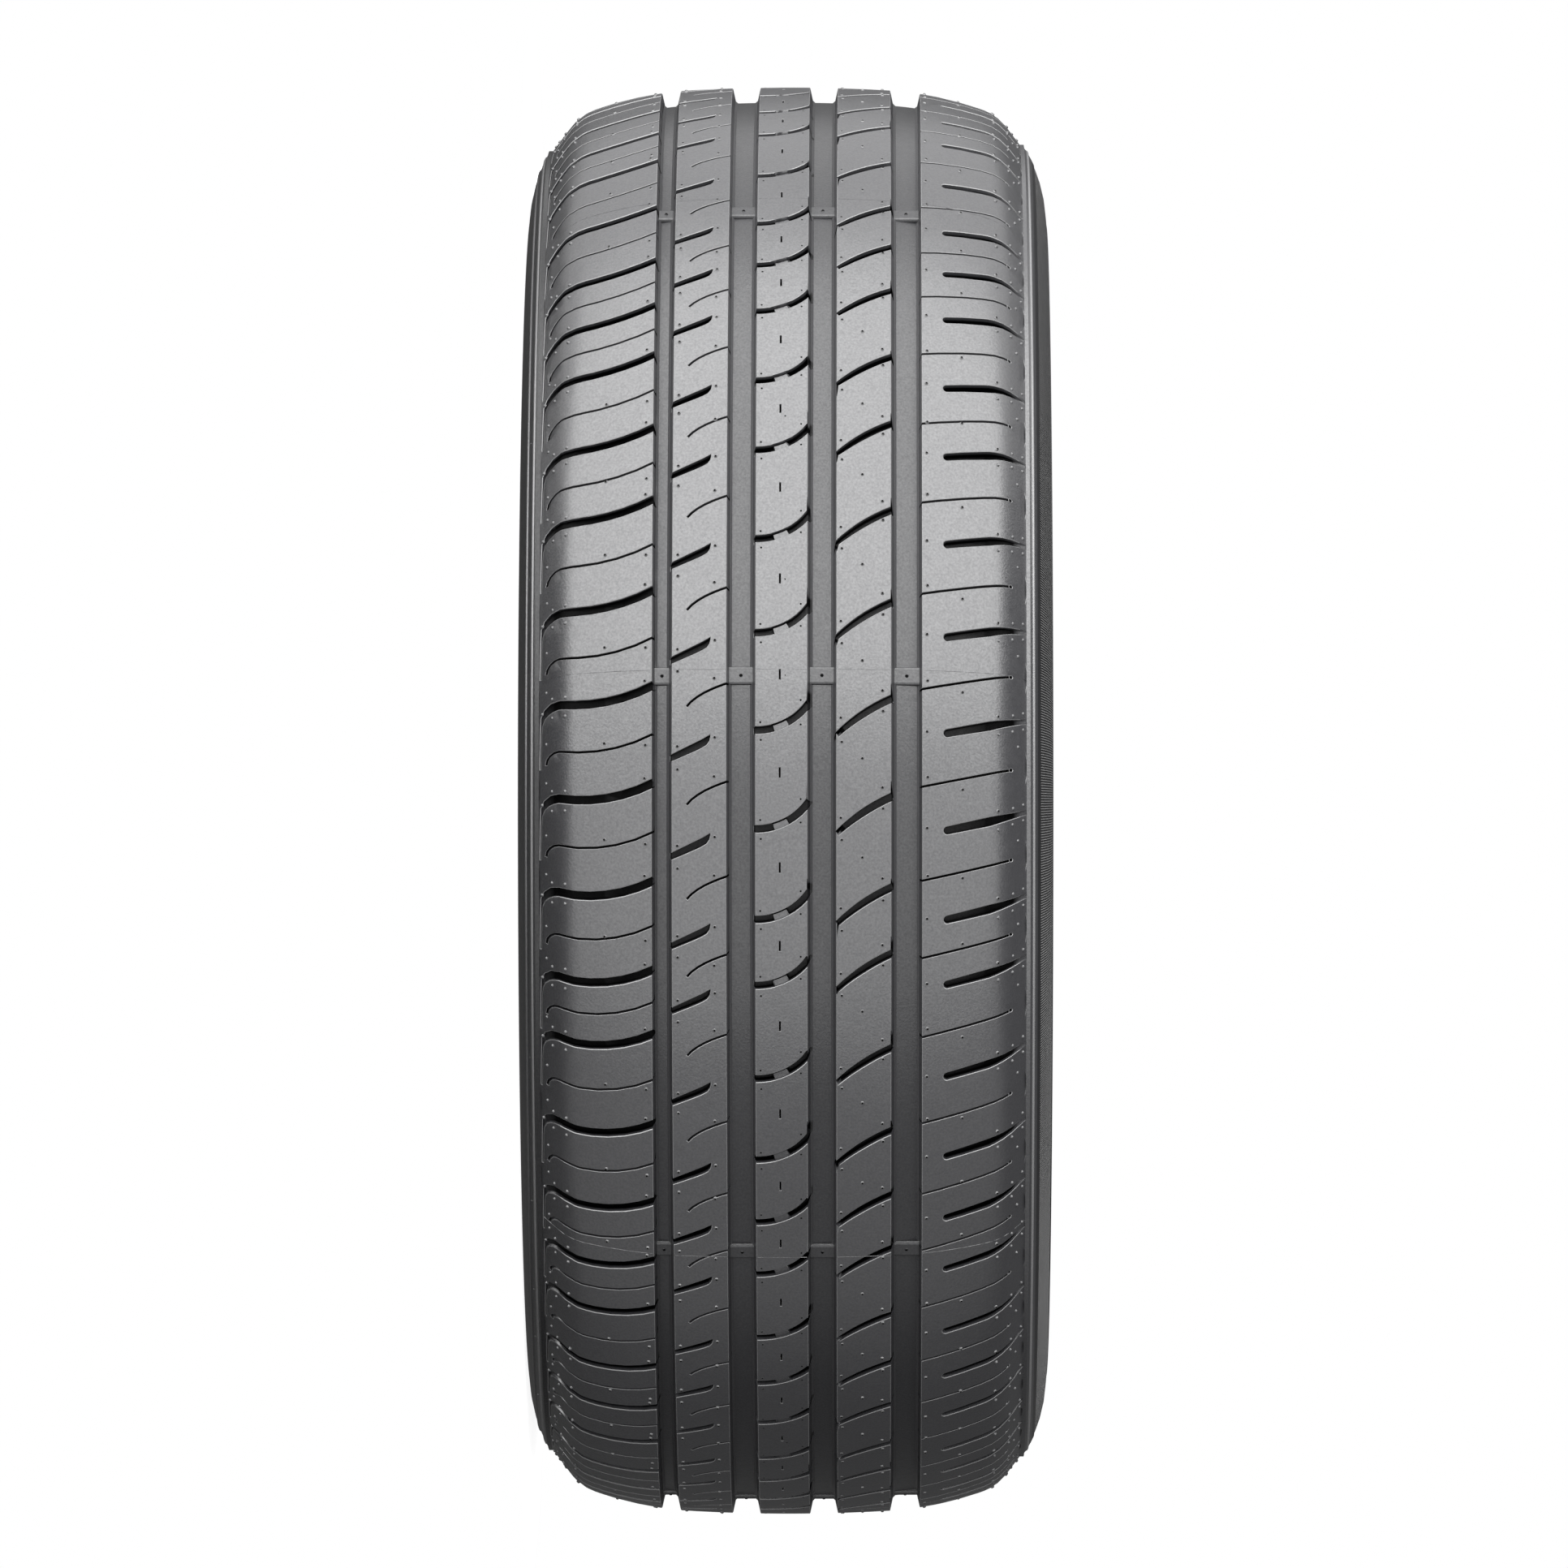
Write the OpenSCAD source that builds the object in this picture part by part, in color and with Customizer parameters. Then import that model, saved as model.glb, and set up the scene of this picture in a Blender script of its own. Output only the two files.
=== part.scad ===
// Car tyre of the 255/55 R18 class, one moulded piece.
// The axle is the Z axis, the origin lies in the tyre's middle plane, and +Z is the outboard side.
// Section points are [radius, z]. Tread plan points are [z, s], where s runs round the tread in
// millimetres, towards rising angles.

/* [Tyre] */
// Outside diameter over the middle rib
overall_d = 738; // [724:1:752]
// Width across the two sidewalls
section_w = 266; // [258:1:278]
// Height of the widest place of the sidewalls, as a share of the way from bead seat to tread
widest_share = 0.5; // [0.45:0.01:0.55]
// Diameter of the bead seats, where the tyre grips the rim
rim_d = 462; // [456:0.5:468]
// Distance between the outer faces of the two beads
rim_w = 203.2; // [192:0.1:214]

/* [Crown] */
// Radius across the middle of the tread, seen in section
crown_r = 900; // [700:10:1200]
// Width of the part that has that radius, as a share of the running surface
crown_share = 0.5; // [0.43:0.01:0.52]
// Radius of the tread's outer parts, seen in section
flank_r = 180; // [160:5:220]
// Inset of the running surface's edge, where the rounded shoulder starts, from the widest place
tread_inset = 33; // [30:0.5:36]
// Radius of the rounded shoulders
shoulder_r = 27; // [22:1:32]
// Slant of the shoulder flanks against the tyre's middle plane
buttress_slant = 37; // [33:1:41]

/* [Walls] */
// Thickness of the crown at its middle, from tread to liner
crown_t = 16; // [14:0.5:19]
// Thickness of the sidewalls where they are widest
wall_t = 7; // [5.5:0.5:9]
// Width of each bead from toe to heel
bead_w = 20; // [17:0.5:24]
// Height of the flat outer face of each bead above its seat
bead_face_h = 9; // [8:0.5:12]
// Radius of the hollow that the rim flange lies in
flange_hollow_r = 12; // [9:0.5:15]
// Radius of the bead heels
heel_r = 6.5; // [4:0.5:8]
// Height of the bead's inner corner above its seat
bead_top_h = 12; // [10:0.5:15]
// Setback of that corner from the bead toe
bead_lean = 2; // [1:0.5:4]
// Bevel of the bead toes
toe_bevel = 2; // [1:0.5:3]

/* [Sidewall ridges] */
// Place of the moulded ridge on the inboard side, from 0 at the widest place to 1 at the rounded shoulder
inboard_ridge_share = 0.754; // [0.7:0.002:0.8]
// Place of the moulded ridge on the outboard side, counted in the same way
outboard_ridge_share = 0.796; // [0.74:0.002:0.84]
// Width of the ridges
ridge_w = 2; // [1.5:0.1:3]
// Height of their outer step
ridge_h = 1.6; // [1:0.1:2.5]
// Places of the fine rings on the inboard side, counted in the same way
ring_share = [0.672, 0.527]; // [0.3:0.001:0.69]
// Width of the fine rings
ring_w = 1.2; // [0.8:0.1:2]
// Height of the fine rings
ring_h = 0.6; // [0.3:0.1:1]

/* [Round grooves] */
// Places of the four round grooves, from -1 to 1 across the running surface
groove_place = [-0.606, -0.217, 0.182, 0.6]; // [-0.64:0.001:0.64]
// Widths of the round grooves at the tread
groove_w = [10.4, 14.8, 14.8, 15.8]; // [9:0.1:17]
// Depth of the round grooves
groove_depth = 7.8; // [6:0.1:8.5]
// Slant of their walls
groove_slant = 12; // [6:1:16]
// Radius between walls and floor
groove_floor_r = 1.8; // [1:0.1:2.4]
// Number of places round the tyre that have wear bars
wear_bar_count = 8; // [4:1:10]
// Height of the wear bars above the groove floors
wear_bar_h = 1.6; // [1.2:0.1:2]
// Length of the wear bars round the tyre
wear_bar_len = 6; // [4:0.5:9]
// Angle of the first wear bars
wear_bar_at = 35.2; // [0:0.1:44]

/* [Pitches] */
// Times that the pitch order runs round the tyre
order_repeats = 2; // [2:1:2]
// Growth of a pitch from one length class to the next, in degrees
class_step = 0.6; // [0.3:0.05:0.8]
// Angle at which the first pitch starts
first_pitch_at = 209.1; // [0:0.1:360]

/* [Cross grooves] */
// Depth of the cross grooves of the ribs
cross_depth = 5.4; // [4.5:0.1:5.8]
// Depth of the sipes
sipe_depth = 4.5; // [3:0.1:5.5]
// Width of the sipes
sipe_w = 1.2; // [0.8:0.1:1.8]
// Width of the inboard shoulder grooves
open_w = 4.7; // [3.5:0.1:5.5]
// Depth at which those grooves meet the first round groove
open_tie_depth = 3; // [2:0.1:5]
// Width of their tail along the inboard ridge
tail_w = 1.1; // [0.8:0.1:1.6]
// Length of that tail
tail_len = 20; // [12:1:24]
// Width of the notches in the second rib
notch_w = 2.8; // [2:0.1:3.6]
// Width of the middle rib's grooves
middle_w = 4.1; // [3:0.1:5]
// Depth at which the tie bars in the middle rib's grooves lie below the tread
tie_bar_depth = 1.4; // [0.8:0.1:2]
// Width of those tie bars across the tread
tie_bar_w = 6.2; // [5:0.1:8]
// Width of the fourth rib's grooves at their narrow end
fourth_w0 = 2.7; // [2:0.1:4]
// Width of the fourth rib's grooves at their wide end
fourth_w1 = 4.1; // [3:0.1:5]
// Width of the outboard shoulder grooves at their round end
blind_w0 = 4.2; // [3:0.1:5]
// Width of the outboard shoulder grooves where they run out
blind_w1 = 3.1; // [2:0.1:4]
// Place of their round end, from 0 at the middle plane to 1 at the edge of the running surface
blind_end_place = 0.78; // [0.74:0.005:0.84]

/* [Hidden] */
$fn = 180;

// Length class of each pitch, from 0 for the shortest to 4. The mixed order breaks up the tread's hum.
pitch_order = [4, 3, 0, 0, 3, 2, 4, 4, 4, 4, 3, 0, 4, 3, 1, 0, 3, 1, 1, 2, 0, 1, 0, 2, 3, 4, 2, 1];
pitch_count = len(pitch_order) * order_repeats;
function pitch_class(k) = pitch_order[k % len(pitch_order)];
function class_sum(k) = k <= 0 ? 0 : class_sum(k - 1) + pitch_class(k - 1);
short_pitch = (360 - class_step * class_sum(pitch_count)) / pitch_count;
function pitch_len(k) = short_pitch + class_step * pitch_class(k);
function pitch_start(k) = first_pitch_at + k * short_pitch + class_step * class_sum(k);

// How far the tools reach past the rubber that they cut
clear = 3;
// How far added rubber is sunk in the rubber that carries it
sink = 1;

// Half a section of the tread: three arcs that run into each other, then the straight shoulder flank
top_r = overall_d / 2;
half_tread = section_w / 2 - tread_inset;
crown_w = 2 * half_tread * crown_share;
groove_z = [for (place = groove_place) place * half_tread];
crown_c = [top_r - crown_r, 0];
crown_end = asin(crown_w / 2 / crown_r);
flank_c = crown_c + (crown_r - flank_r) * [cos(crown_end), sin(crown_end)];
flank_end = asin((half_tread - flank_c[1]) / flank_r);
shoulder_c = flank_c + (flank_r - shoulder_r) * [cos(flank_end), sin(flank_end)];
shoulder_end = 90 - buttress_slant;
buttress_top = shoulder_c + shoulder_r * [cos(shoulder_end), sin(shoulder_end)];
function on_buttress(r) = [r, buttress_top[1] + (buttress_top[0] - r) * tan(buttress_slant)];

// Radius of the tread before any groove is cut, at a distance z from the middle plane
function tread_r(z) = let (d = abs(z))
    d < crown_w / 2 ? crown_c[0] + sqrt(crown_r ^ 2 - d ^ 2) :
    d < half_tread ? flank_c[0] + sqrt(flank_r ^ 2 - (d - flank_c[1]) ^ 2) :
    d < buttress_top[1] ? shoulder_c[0] + sqrt(shoulder_r ^ 2 - (d - shoulder_c[1]) ^ 2) :
    buttress_top[0] - (d - buttress_top[1]) / tan(buttress_slant);

// Outer wall above and below its widest place, and the bead
seat_r = rim_d / 2;
widest_r = seat_r + widest_share * (top_r - seat_r);
wall_z = section_w / 2;
heel_z = rim_w / 2;
toe_z = heel_z - bead_w;
face_top_r = seat_r + bead_face_h;
wall_h = widest_r - face_top_r;
wall_out = wall_z - heel_z - flange_hollow_r;
low_wall_r = (wall_h ^ 2 + wall_out ^ 2 - flange_hollow_r ^ 2) / (2 * (wall_out + flange_hollow_r));
low_wall_end = asin(wall_h / (low_wall_r + flange_hollow_r));

// Liner: a crown arc that runs into a shoulder arc, and an arc from the widest place to the bead
liner_top_r = top_r - crown_t;
liner_c = liner_top_r - crown_r;
liner_z = wall_z - wall_t;
liner_h = widest_r - liner_c;
liner_shoulder_r = (crown_r ^ 2 - liner_h ^ 2 - liner_z ^ 2) / (2 * (crown_r - liner_z));
liner_meet = atan((liner_z - liner_shoulder_r) / liner_h);
bead_top = [seat_r + bead_top_h, toe_z + bead_lean];

function arc(c, r, a0, a1, n) = [for (i = [0:n]) let (a = a0 + (a1 - a0) * i / n) c + r * [cos(a), sin(a)]];

// Radius of an arc that leaves a point along the middle plane and reaches h further up and w inwards
function bow_r(h, w) = (h ^ 2 + w ^ 2) / (2 * w);

// Across the tread each rib has a straight top between its edges. It is drawn on to the middle of the
// round groove on each side, where the small step to the next rib is cut away with the groove.
last_groove = len(groove_z) - 1;
function rib_start(j) = j == 0 ? -flank_mid(0) : groove_z[j - 1] + groove_w[j - 1] / 2;
function rib_end(j) = j > last_groove ? flank_mid(last_groove) : groove_z[j] - groove_w[j] / 2;
function flank_mid(i) = (abs(groove_z[i]) + groove_w[i] / 2 + half_tread) / 2;
function rib_top(j, z) = let (z0 = rib_start(j), z1 = rib_end(j))
    z0 * z1 < 0 ? top_r : tread_r(z0) + (tread_r(z1) - tread_r(z0)) * (z - z0) / (z1 - z0);
function tread_line() = [for (j = [0:last_groove + 1]) each let (
    z0 = j == 0 ? rib_start(0) : groove_z[j - 1],
    z1 = j > last_groove ? rib_end(j) : groove_z[j])
    [[rib_top(j, z0), z0], [rib_top(j, z1), z1]]];

// Radius of a ridge or ring that stands at a share of the way up to the rounded shoulder
function share_r(share) = widest_r + share * (buttress_top[0] - widest_r);

// One side of the section, from the edge of the running surface to the toe and back along the liner
function half_section(ridge_r) = let (
    ridge_in = on_buttress(ridge_r + ridge_w / 2),
    ridge_out = [ridge_in[0], ridge_in[1] + ridge_w],
    ridge_foot = ridge_out - [ridge_h, -ridge_h / 4],
    bow = bow_r(ridge_foot[0] - widest_r, wall_z - ridge_foot[1]),
    bow_end = asin((ridge_foot[0] - widest_r) / bow),
    liner_bow = bow_r(widest_r - bead_top[0], liner_z - bead_top[1]),
    liner_bow_end = asin((widest_r - bead_top[0]) / liner_bow))
    concat(
        arc(shoulder_c, shoulder_r, flank_end, shoulder_end, 2),
        [ridge_in, ridge_out],
        arc([widest_r, wall_z - bow], bow, 90 - bow_end, 90, 6),
        [for (i = [1:8]) let (a = low_wall_end * i / 8)
            [widest_r - low_wall_r * sin(a), wall_z - low_wall_r * (1 - cos(a))]],
        [for (i = [3:-1:0]) let (a = low_wall_end * i / 4)
            [face_top_r + flange_hollow_r * sin(a), heel_z + flange_hollow_r * (1 - cos(a))]],
        arc([seat_r + heel_r, heel_z - heel_r], heel_r, 90, 180, 4),
        [[seat_r, toe_z + toe_bevel], [seat_r + toe_bevel, toe_z]],
        [for (i = [8:-1:1]) let (a = liner_bow_end * i / 8)
            [widest_r - liner_bow * sin(a), liner_z - liner_bow * (1 - cos(a))]],
        arc([widest_r, liner_z - liner_shoulder_r], liner_shoulder_r, 90, liner_meet, 8),
        arc([liner_c, 0], crown_r, liner_meet / 2, liner_meet / 4, 1));

function mirrored(points) = [for (i = [len(points) - 1:-1:0]) [points[i][0], -points[i][1]]];

// A round groove in section, with slanting walls and rounded corners at its floor
function floor_r(i) = tread_r(groove_z[i]) - groove_depth;
function groove_section(i) = let (
    z = groove_z[i],
    run = groove_depth * tan(groove_slant),
    floor_half = groove_w[i] / 2 - run,
    corner = groove_floor_r * tan((90 - groove_slant) / 2),
    c = [floor_r(i) + groove_floor_r, floor_half - corner],
    side = concat(
        arc(c, groove_floor_r, 180, 90 + groove_slant, 2),
        [[floor_r(i) + groove_depth + clear, groove_w[i] / 2 + clear * tan(groove_slant)]]))
    concat(
        [for (p = side) [p[0], z + p[1]]],
        [for (j = [len(side) - 1:-1:0]) [side[j][0], z - side[j][1]]]);

module section() difference() {
    polygon(concat(
        tread_line(),
        half_section(share_r(outboard_ridge_share)),
        mirrored(half_section(share_r(inboard_ridge_share)))));
    for (i = [0:last_groove])
        polygon(groove_section(i));
}

module carcass() rotate_extrude() section();

// Raised bars across the round grooves' floors, which show when the tread is worn
module wear_bars() for (j = [0:wear_bar_count - 1], i = [0:last_groove])
    rotate([0, 0, wear_bar_at + j * 360 / wear_bar_count])
        translate([floor_r(i) - sink, -wear_bar_len / 2, groove_z[i] - groove_w[i] / 2])
            cube([wear_bar_h + sink, wear_bar_len, groove_w[i]]);

// Fine rings round the inboard sidewall, half sunk in it
function wall_at(r) = let (
    foot = on_buttress(share_r(inboard_ridge_share)),
    bow = bow_r(foot[0] - widest_r, wall_z - foot[1]))
    wall_z - bow + sqrt(bow ^ 2 - (r - widest_r) ^ 2);

module fine_rings() for (share = ring_share) let (r = share_r(share)) rotate_extrude()
    polygon([
        [r - ring_w, ring_h - wall_at(r - ring_w)],
        [r - ring_w / 2, -ring_h - wall_at(r)],
        [r + ring_w / 2, -ring_h - wall_at(r)],
        [r + ring_w, ring_h - wall_at(r + ring_w)]]);

// A strip along a line in the tread's plan, as wide at each point as its width says
function across(line, i) = let (
    d = line[min(i + 1, len(line) - 1)] - line[max(i - 1, 0)])
    [-d[1], d[0]] / norm(d);
function strip(line, widths) = concat(
    [for (i = [0:len(line) - 1]) line[i] + across(line, i) * widths[i] / 2],
    [for (i = [len(line) - 1:-1:0]) line[i] - across(line, i) * widths[i] / 2]);
function even(line, w) = [for (p = line) w];

// Stands a plan on the tread at an angle, as a prism that reaches from the radius r outwards
module tread_prism(at, plan, r) rotate([0, 0, at]) rotate([0, 90, 0])
    translate([0, 0, r]) linear_extrude(top_r + clear - r)
        polygon([for (p = plan) [-p[0], p[1]]]);

// The same, with a floor that follows the tread: floor_line holds [z, depth] from the middle outwards
module floored_prism(at, plan, floor_line) {
    floor = [for (p = floor_line) [tread_r(p[0]) - p[1], p[0]]];
    last = len(floor) - 1;
    reach = max([for (p = plan) abs(p[1])]) + clear;
    intersection() {
        tread_prism(at, plan, floor[last][0] - clear);
        rotate([0, 0, at]) rotate([90, 0, 0]) linear_extrude(2 * reach, center = true)
            polygon(concat(floor, [[top_r + 2 * clear, floor[last][1]], [top_r + 2 * clear, floor[0][1]]]));
    }
}

// First rib, inboard: wide grooves that sweep out from the first round groove, hook over the shoulder
// and end in a thin tail along the ridge, with a sipe half a pitch behind each
open_start_z = groove_z[0] + groove_w[0] / 4;
sweep_low_z = -half_tread;
sweep_r = 77;
hook_z = -half_tread - 11.5;
hook_r = 8.8;
sipe_hook_r = 6.4;
// Places at which the floors of grooves and sipes bend, and their depths at the far end
open_bend_z = -0.84 * half_tread;
open_end_z = -half_tread - 22.5;
open_end_depth = 1.1;
open_sipe_bend_z = -half_tread - 3;
open_sipe_end_z = -half_tread - 19;
open_sipe_end_depth = 2;
function sweep_s(z) = sqrt(sweep_r ^ 2 - (z - sweep_low_z) ^ 2) - sweep_r;
function sweep(n) = [for (i = [0:n]) let (z = open_start_z + (hook_z - open_start_z) * i / n) [z, sweep_s(z)]];
function hook(r, n) = [for (i = [1:n]) [hook_z, sweep_s(hook_z) + r] - r * [sin(90 * i / n), cos(90 * i / n)]];

module open_groove(at) {
    line = concat(sweep(3), hook(hook_r, 2), [[hook_z - hook_r - tail_w / 2, hook_r + tail_len]]);
    widths = [open_w, open_w, open_w, open_w, open_w / 2, tail_w, tail_w];
    floored_prism(at, strip(line, widths),
        [[open_start_z, open_tie_depth], [open_bend_z, cross_depth], [open_end_z, open_end_depth]]);
}

module open_sipe(at) {
    line = concat(sweep(2), hook(sipe_hook_r, 1));
    floored_prism(at, strip(line, even(line, sipe_w)), [
        [open_start_z, sipe_depth], [open_sipe_bend_z, sipe_depth - 1],
        [open_sipe_end_z, open_sipe_end_depth]]);
}

// Second rib: slanting notches that end in a claw, with a curved sipe from the other side behind each
rib2_lead = 4.24;
rib2_z = -0.42 * half_tread;
rib2_slant = 24.5;
rib2_slope = -tan(rib2_slant);
// The claw bends at the first distance from the rib's middle and has its tip at the second, turned up
claw_bend = 3;
claw_tip = 5.3;
claw_rise = 2.8;
// The sipe bends down by this much over this last stretch
rib2_sipe_end = 6;
rib2_sipe_fall = 2.5;
function rib2_line(z) = [z, rib2_slope * (z - rib2_z)];

module notch(at) {
    w = notch_w / 2 / cos(rib2_slant);
    start = rib2_line(groove_z[0] + groove_w[0] / 4);
    bend = rib2_line(rib2_z + claw_bend);
    tip = rib2_line(rib2_z + claw_tip) - [0, claw_rise];
    plan = [start + [0, w], bend + [1, w], tip, bend - [0, w], start - [0, w]];
    tread_prism(at - rib2_lead, plan, tread_r(rib2_z) - cross_depth);
}

module rib2_sipe(at) {
    line = [
        rib2_line(groove_z[1] - groove_w[1] / 4),
        rib2_line(rib2_z),
        rib2_line(rib2_z - rib2_sipe_end) + [0, rib2_sipe_fall]];
    tread_prism(at - rib2_lead, strip(line, even(line, sipe_w)), tread_r(rib2_z) - sipe_depth);
}

// Middle rib: a groove on a round arc from the second to the third round groove, with a sunken tie bar
rib3_lead = 5.9;
rib3_arc_c = [-0.14, -0.281] * half_tread;
rib3_arc_r = 0.315 * half_tread;
rib3_arc_start = -6;
rib3_arc_end = 57;
tie_bar_z = -0.021 * half_tread;

module middle_groove(at) {
    turn = rib3_arc_end - rib3_arc_start;
    line = [for (i = [0:3]) let (a = rib3_arc_start + turn * i / 3) rib3_arc_c + rib3_arc_r * [sin(a), cos(a)]];
    floored_prism(at - rib3_lead, strip(line, even(line, middle_w)), [
        [groove_z[1], cross_depth],
        [tie_bar_z - tie_bar_w / 2, cross_depth], [tie_bar_z - tie_bar_w / 2, tie_bar_depth],
        [tie_bar_z + tie_bar_w / 2, tie_bar_depth], [tie_bar_z + tie_bar_w / 2, cross_depth],
        [groove_z[2], cross_depth]]);
}

// Fourth rib: a groove on a flat arc, wider towards the shoulder
rib4_lead = 6.63;
rib4_z = 0.385 * half_tread;
rib4_arc_r = 0.97 * half_tread;
rib4_slant = 33.5;
rib4_half_turn = 10.5;

module fourth_groove(at) {
    c = [rib4_z, 0] + rib4_arc_r * [sin(rib4_slant), cos(rib4_slant)];
    line = [for (i = [-1:1]) let (a = rib4_slant - i * rib4_half_turn) c - rib4_arc_r * [sin(a), cos(a)]];
    n = len(line) - 1;
    widths = [for (i = [0:n]) fourth_w0 + (fourth_w1 - fourth_w0) * min(1, i * 2 / n)];
    tread_prism(at - rib4_lead, strip(line, widths), tread_r(rib4_z) - cross_depth);
}

// Fifth rib, outboard: grooves with a round inner end that run out over the shoulder, with a sipe
// from the last round groove half a pitch behind each
rib5_lead = 5.84;
rib5_z = half_tread;
rib5_slope = -tan(11.3);
blind_end_z = blind_end_place * half_tread;
blind_out_z = half_tread + 19;
// Places at which the floors of grooves and sipes bend, and their depths at the far end
blind_bend_z = half_tread + 4;
blind_end_depth = 0.3;
blind_sipe_bend_z = half_tread + 3;
blind_sipe_out_z = half_tread + 11.6;
blind_sipe_end_depth = 2.5;
function rib5_line(z) = [z, rib5_slope * (z - rib5_z)];

module blind_groove(at) {
    r = blind_w0 / 2;
    end = rib5_line(blind_end_z + r);
    out = rib5_line(blind_out_z);
    plan = concat(
        [for (a = [-60:40:60]) end - r * [cos(a), sin(a)]], // four points of a round end
        [out - [0, blind_w1 / 2], out + [0, blind_w1 / 2]]);
    floored_prism(at - rib5_lead, plan,
        [[blind_end_z - clear, cross_depth], [blind_bend_z, cross_depth - 1], [blind_out_z + 0.5, blind_end_depth]]);
}

module blind_sipe(at) {
    line = [rib5_line(groove_z[last_groove] + groove_w[last_groove] / 4), rib5_line(blind_sipe_out_z)];
    floored_prism(at - rib5_lead, strip(line, even(line, sipe_w)),
        [[groove_z[last_groove], sipe_depth], [blind_sipe_bend_z, sipe_depth - 0.5],
            [blind_sipe_out_z + clear / 2, blind_sipe_end_depth]]);
}

module tyre() color("dimgray") difference() {
    union() {
        carcass();
        wear_bars();
        fine_rings();
    }
    for (k = [0:pitch_count - 1]) {
        open_groove(pitch_start(k));
        open_sipe(pitch_start(k) + pitch_len(k) / 2);
        notch(pitch_start(k));
        rib2_sipe(pitch_start(k) + pitch_len(k) / 2);
        middle_groove(pitch_start(k));
        fourth_groove(pitch_start(k));
        blind_groove(pitch_start(k));
        blind_sipe(pitch_start(k) + pitch_len(k) / 2);
    }
}

tyre();
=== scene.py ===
import math
import random

import bmesh
import bpy
import numpy as np
from mathutils import Matrix, Vector, geometry


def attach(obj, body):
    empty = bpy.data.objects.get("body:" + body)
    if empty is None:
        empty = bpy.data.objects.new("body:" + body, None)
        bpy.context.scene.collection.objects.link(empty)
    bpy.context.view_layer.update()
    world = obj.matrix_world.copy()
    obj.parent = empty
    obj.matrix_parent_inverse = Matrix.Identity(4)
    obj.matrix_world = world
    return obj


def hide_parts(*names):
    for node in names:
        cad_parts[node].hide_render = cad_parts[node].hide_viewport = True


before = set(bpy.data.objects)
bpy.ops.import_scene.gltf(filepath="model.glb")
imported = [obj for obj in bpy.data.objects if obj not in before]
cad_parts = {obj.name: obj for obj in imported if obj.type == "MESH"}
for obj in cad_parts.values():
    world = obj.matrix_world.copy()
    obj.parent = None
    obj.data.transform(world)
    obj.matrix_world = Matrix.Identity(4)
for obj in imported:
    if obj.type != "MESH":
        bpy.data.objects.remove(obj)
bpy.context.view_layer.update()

# The camera looks level along +Y at the tread of the lying tyre from 7.2 m, with a quarter turn of roll,
# so that the outboard side, +Z, is at the picture's right. The lens is long and a little shifted.
camera_data = bpy.data.cameras.new("camera")
camera_data.sensor_width = 36
camera_data.lens = 318.8
camera_data.shift_x = -104 / 1932
camera_data.shift_y = 20.5 / 1932
camera_data.clip_end = 50
camera = bpy.data.objects.new("camera", camera_data)
camera.matrix_world = Matrix(((0, -1, 0, 0), (0, 0, -1, -7.195), (1, 0, 0, 0.0411), (0, 0, 0, 1)))
bpy.context.scene.collection.objects.link(camera)
bpy.context.scene.camera = camera

# The tyre is one piece of black rubber. A segmented mould presses the ribs, grooves and sipes into its tread
# while it cures. Sizes are in millimetres, and a plan of the tread is [z, s], z across it and s round it.
# Without grooves the tread is a crown arc, a flank arc, a round shoulder and a slanting buttress.
TOP_R = 369.0
CROWN_R = 900.0
FLANK_R = 180.0
SHOULDER_R = 27.0
FLANK_Z = 50.0
FLANK_END_Z = 100.0
SHOULDER_TURN = math.radians(53)
BUTTRESS_SLANT = math.tan(math.radians(37))
crown_turn = math.asin(FLANK_Z / CROWN_R)
flank_in = CROWN_R - FLANK_R
flank_c = (TOP_R - CROWN_R + flank_in * math.cos(crown_turn), flank_in * math.sin(crown_turn))
flank_turn = math.asin((FLANK_END_Z - flank_c[1]) / FLANK_R)
shoulder_in = FLANK_R - SHOULDER_R
shoulder_c = (flank_c[0] + shoulder_in * math.cos(flank_turn),
              flank_c[1] + shoulder_in * math.sin(flank_turn))
buttress_r = shoulder_c[0] + SHOULDER_R * math.cos(SHOULDER_TURN)
buttress_z = shoulder_c[1] + SHOULDER_R * math.sin(SHOULDER_TURN)


def tread_r(z):
    d = np.abs(np.asarray(z, dtype=float))
    crown = TOP_R - CROWN_R + np.sqrt(CROWN_R**2 - np.minimum(d, FLANK_Z) ** 2)
    flank_d = np.clip(d, FLANK_Z, FLANK_END_Z)
    flank = flank_c[0] + np.sqrt(FLANK_R**2 - (flank_d - flank_c[1]) ** 2)
    shoulder_d = np.clip(d, FLANK_END_Z, buttress_z)
    shoulder = shoulder_c[0] + np.sqrt(SHOULDER_R**2 - (shoulder_d - shoulder_c[1]) ** 2)
    buttress = buttress_r - (d - buttress_z) / BUTTRESS_SLANT
    outer = np.where(d < FLANK_END_Z, flank, np.where(d < buttress_z, shoulder, buttress))
    return np.where(d < FLANK_Z, crown, outer)


# Four round grooves: middles, widths and the depth at each distance in from the edge, down a small bevel and
# a tapered wall to a floor with a cut corner
ROUND_Z = (-60.6, -21.7, 18.2, 60.0)
ROUND_W = (10.4, 14.8, 14.8, 15.8)
ROUND_DEPTH = 7.8
ROUND_KNOTS = ((0.0, 0.0), (0.3, 0.3), (1.65, 6.6), (2.9, ROUND_DEPTH))


def round_depth(z):
    depth = np.zeros_like(z)
    for middle, width in zip(ROUND_Z, ROUND_W):
        inward = width / 2 - np.abs(z - middle)
        depth = np.maximum(depth, np.interp(inward, *zip(*ROUND_KNOTS)))
    return depth


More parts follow.
